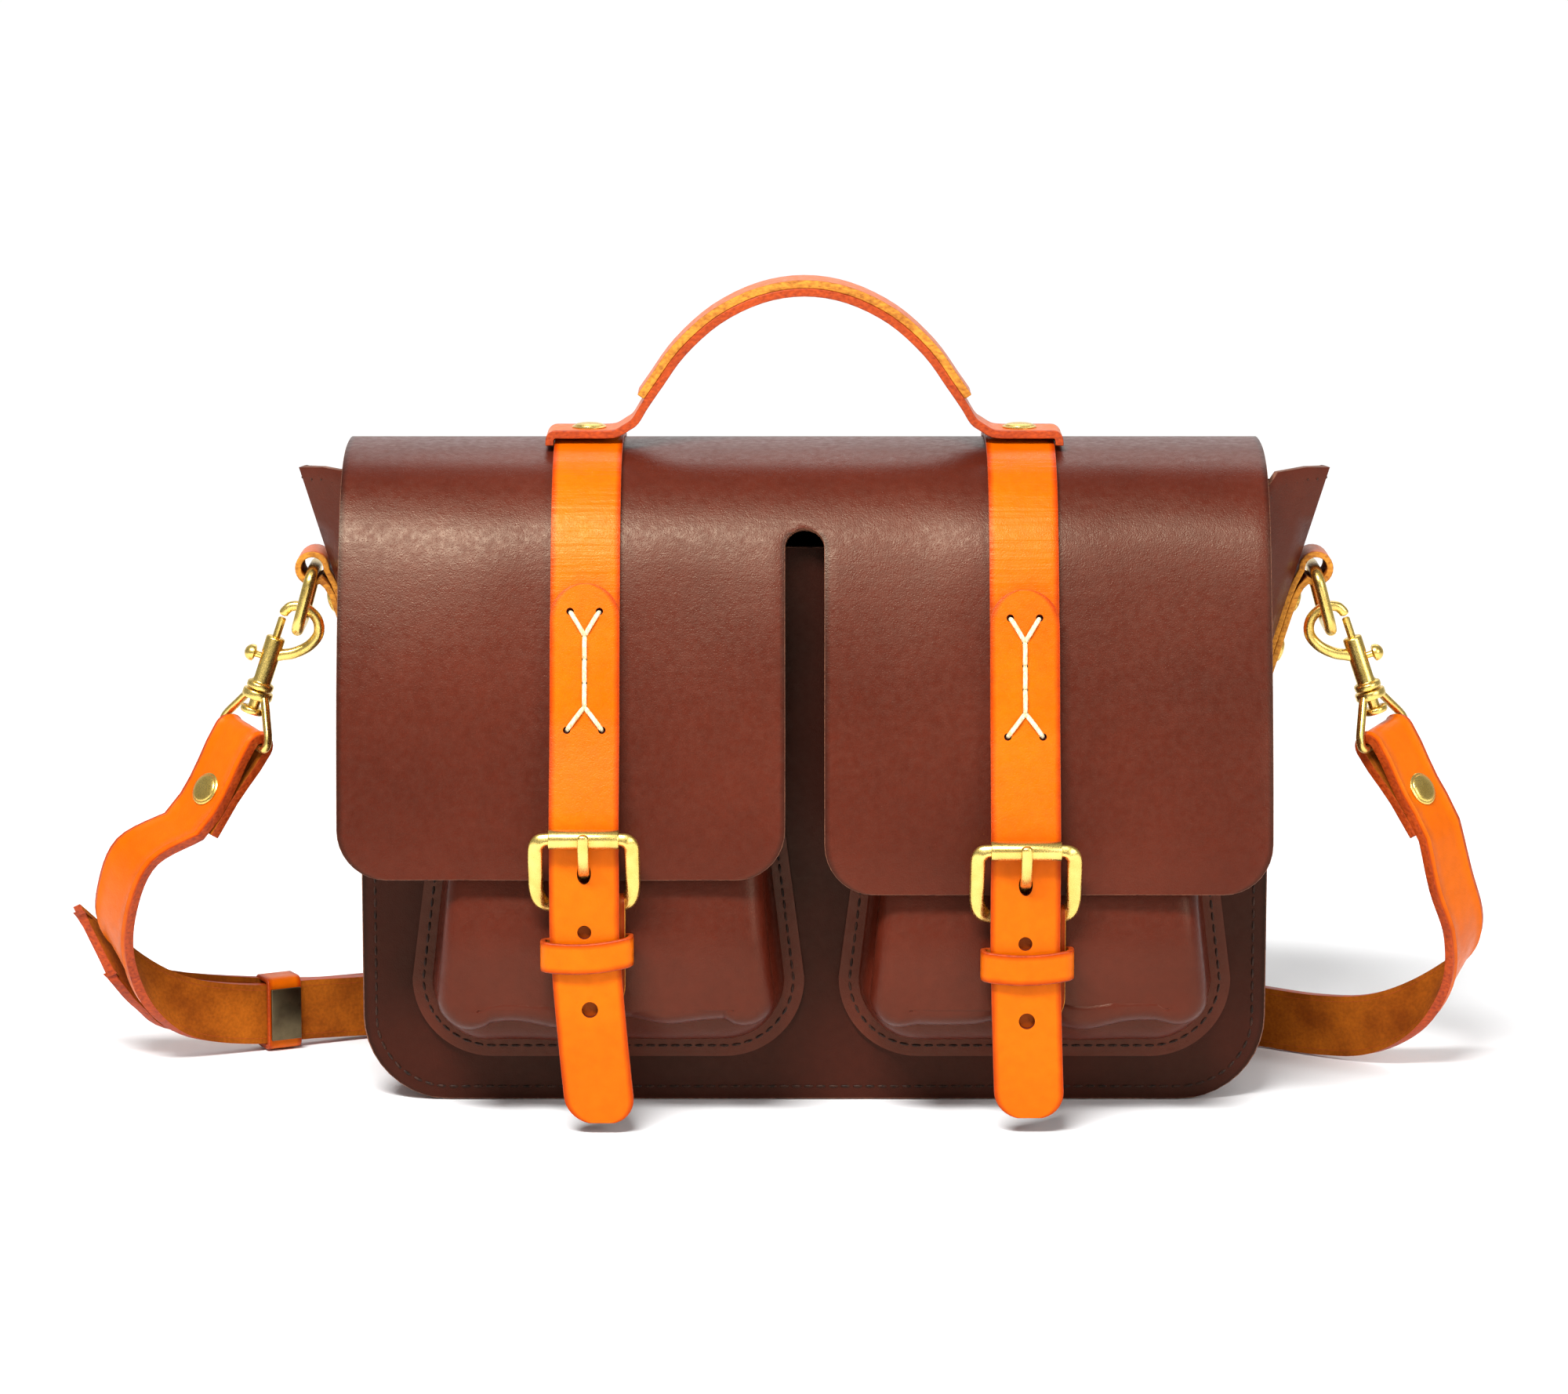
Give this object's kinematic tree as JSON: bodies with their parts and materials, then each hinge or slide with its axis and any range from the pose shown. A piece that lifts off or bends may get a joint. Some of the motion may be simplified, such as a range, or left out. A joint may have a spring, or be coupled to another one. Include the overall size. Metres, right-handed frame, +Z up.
{
  "type": "satchel bag",
  "caption": "Leather satchel with a slotted flap, moulded front pockets, buckled straps, a top handle and a clipped shoulder strap.",
  "frame": {"origin": "on the floor, under the middle of the bag's body, on the flat of its base", "axes": "+X to the bag's right seen from the front, -Y out of its front, +Z up"},
  "size_m": [0.4995, 0.1856, 0.2867],
  "materials": {
    "chestnut_leather": "satin, fine grain",
    "tan_leather": "satin, burnished edges",
    "satin_brass": "satin",
    "dark_bronze": "satin",
    "nickel_steel": "satin"
  },
  "bodies": {
    "root": {"back_panel": "chestnut_leather", "front_panel": "chestnut_leather", "gusset": "chestnut_leather", "pocket_l": "chestnut_leather", "pocket_r": "chestnut_leather", "strap_back_l": "tan_leather", "strap_back_r": "tan_leather", "pocket_snap_l": "nickel_steel", "pocket_snap_r": "nickel_steel", "side_tab_l": "tan_leather", "side_tab_r": "tan_leather", "tab_rivet_l_1": "satin_brass", "tab_rivet_l_2": "satin_brass", "tab_rivet_r_1": "satin_brass", "tab_rivet_r_2": "satin_brass", "stirrup_l": "satin_brass", "stirrup_r": "satin_brass", "shoulder_strap_left": "tan_leather", "shoulder_strap_right": "tan_leather", "shoulder_rivet_l": "satin_brass", "shoulder_rivet_r": "satin_brass", "shoulder_stud": "satin_brass", "shoulder_keeper": "tan_leather", "keeper_plate": "dark_bronze"},
    "flap": {"flap": "chestnut_leather", "strap_upper_l": "tan_leather", "strap_lower_l": "tan_leather", "buckle_frame_l": "satin_brass", "buckle_strap_l": "tan_leather", "strap_snap_l": "nickel_steel", "handle_tab_l": "tan_leather", "handle_rivet_l": "satin_brass", "strap_upper_r": "tan_leather", "strap_lower_r": "tan_leather", "buckle_frame_r": "satin_brass", "buckle_strap_r": "tan_leather", "strap_snap_r": "nickel_steel", "handle_tab_r": "tan_leather", "handle_rivet_r": "satin_brass"},
    "handle": {"handle_strap": "tan_leather", "handle_grip": "tan_leather"},
    "roller_l": {"roller_l": "satin_brass"},
    "prong_l": {"prong_l": "satin_brass"},
    "keeper_l": {"keeper_l": "tan_leather"},
    "ring_l": {"ring_l": "satin_brass"},
    "gate_l": {"gate_l": "satin_brass"},
    "hook_l": {"snap_hook_l": "satin_brass"},
    "roller_r": {"roller_r": "satin_brass"},
    "prong_r": {"prong_r": "satin_brass"},
    "keeper_r": {"keeper_r": "tan_leather"},
    "ring_r": {"ring_r": "satin_brass"},
    "gate_r": {"gate_r": "satin_brass"},
    "hook_r": {"snap_hook_r": "satin_brass"}
  },
  "joints": [
    {"name": "flap_hinge", "type": "hinge", "parent": "root", "child": "flap", "pos_m": [-0.0035, 0.0416, 0.212], "axis": [-1, 0, 0], "range_deg": [0, 180]},
    {"name": "handle_tilt", "type": "hinge", "parent": "flap", "child": "handle", "pos_m": [-0.0035, -0.01, 0.24], "axis": [1, 0, 0], "range_deg": [-20, 20]},
    {"name": "roller_l_spin", "type": "hinge", "parent": "flap", "child": "roller_l", "pos_m": [-0.0786, -0.0933, 0.104], "axis": [1, 0, 0], "continuous": true},
    {"name": "prong_l_pivot", "type": "hinge", "parent": "flap", "child": "prong_l", "pos_m": [-0.0786, -0.08275, 0.079], "axis": [1, 0, 0], "range_deg": [0, 5]},
    {"name": "keeper_l_slide", "type": "slide", "parent": "flap", "child": "keeper_l", "axis": [0, 0, 1], "range_m": [-0.0025, 0.0005]},
    {"name": "ring_l_swing", "type": "hinge", "parent": "root", "child": "ring_l", "pos_m": [-0.176, 0, 0.1831], "axis": [0, 1, 0], "range_deg": [-5, 5]},
    {"name": "hook_l_swivel", "type": "hinge", "parent": "root", "child": "hook_l", "pos_m": [-0.19, 0, 0.1582], "axis": [0.3206, 0, 0.9472], "range_deg": [-15, 15]},
    {"name": "gate_l_slide", "type": "slide", "parent": "hook_l", "child": "gate_l", "axis": [-0.3206, 0, -0.9472], "range_m": [0, 0.006], "stiffness_N_per_m": 150, "springref_m": -0.003},
    {"name": "roller_r_spin", "type": "hinge", "parent": "flap", "child": "roller_r", "pos_m": [0.0716, -0.0933, 0.1], "axis": [1, 0, 0], "continuous": true},
    {"name": "prong_r_pivot", "type": "hinge", "parent": "flap", "child": "prong_r", "pos_m": [0.0716, -0.08275, 0.075], "axis": [1, 0, 0], "range_deg": [0, 5]},
    {"name": "keeper_r_slide", "type": "slide", "parent": "flap", "child": "keeper_r", "axis": [0, 0, 1], "range_m": [-0.0025, 0.0005]},
    {"name": "ring_r_swing", "type": "hinge", "parent": "root", "child": "ring_r", "pos_m": [0.176, 0, 0.1831], "axis": [0, 1, 0], "range_deg": [-5, 5]},
    {"name": "hook_r_swivel", "type": "hinge", "parent": "root", "child": "hook_r", "pos_m": [0.19, 0, 0.1582], "axis": [-0.3206, 0, 0.9472], "range_deg": [-15, 15]},
    {"name": "gate_r_slide", "type": "slide", "parent": "hook_r", "child": "gate_r", "axis": [0.3206, 0, -0.9472], "range_m": [0, 0.006], "stiffness_N_per_m": 150, "springref_m": -0.003}
  ]
}
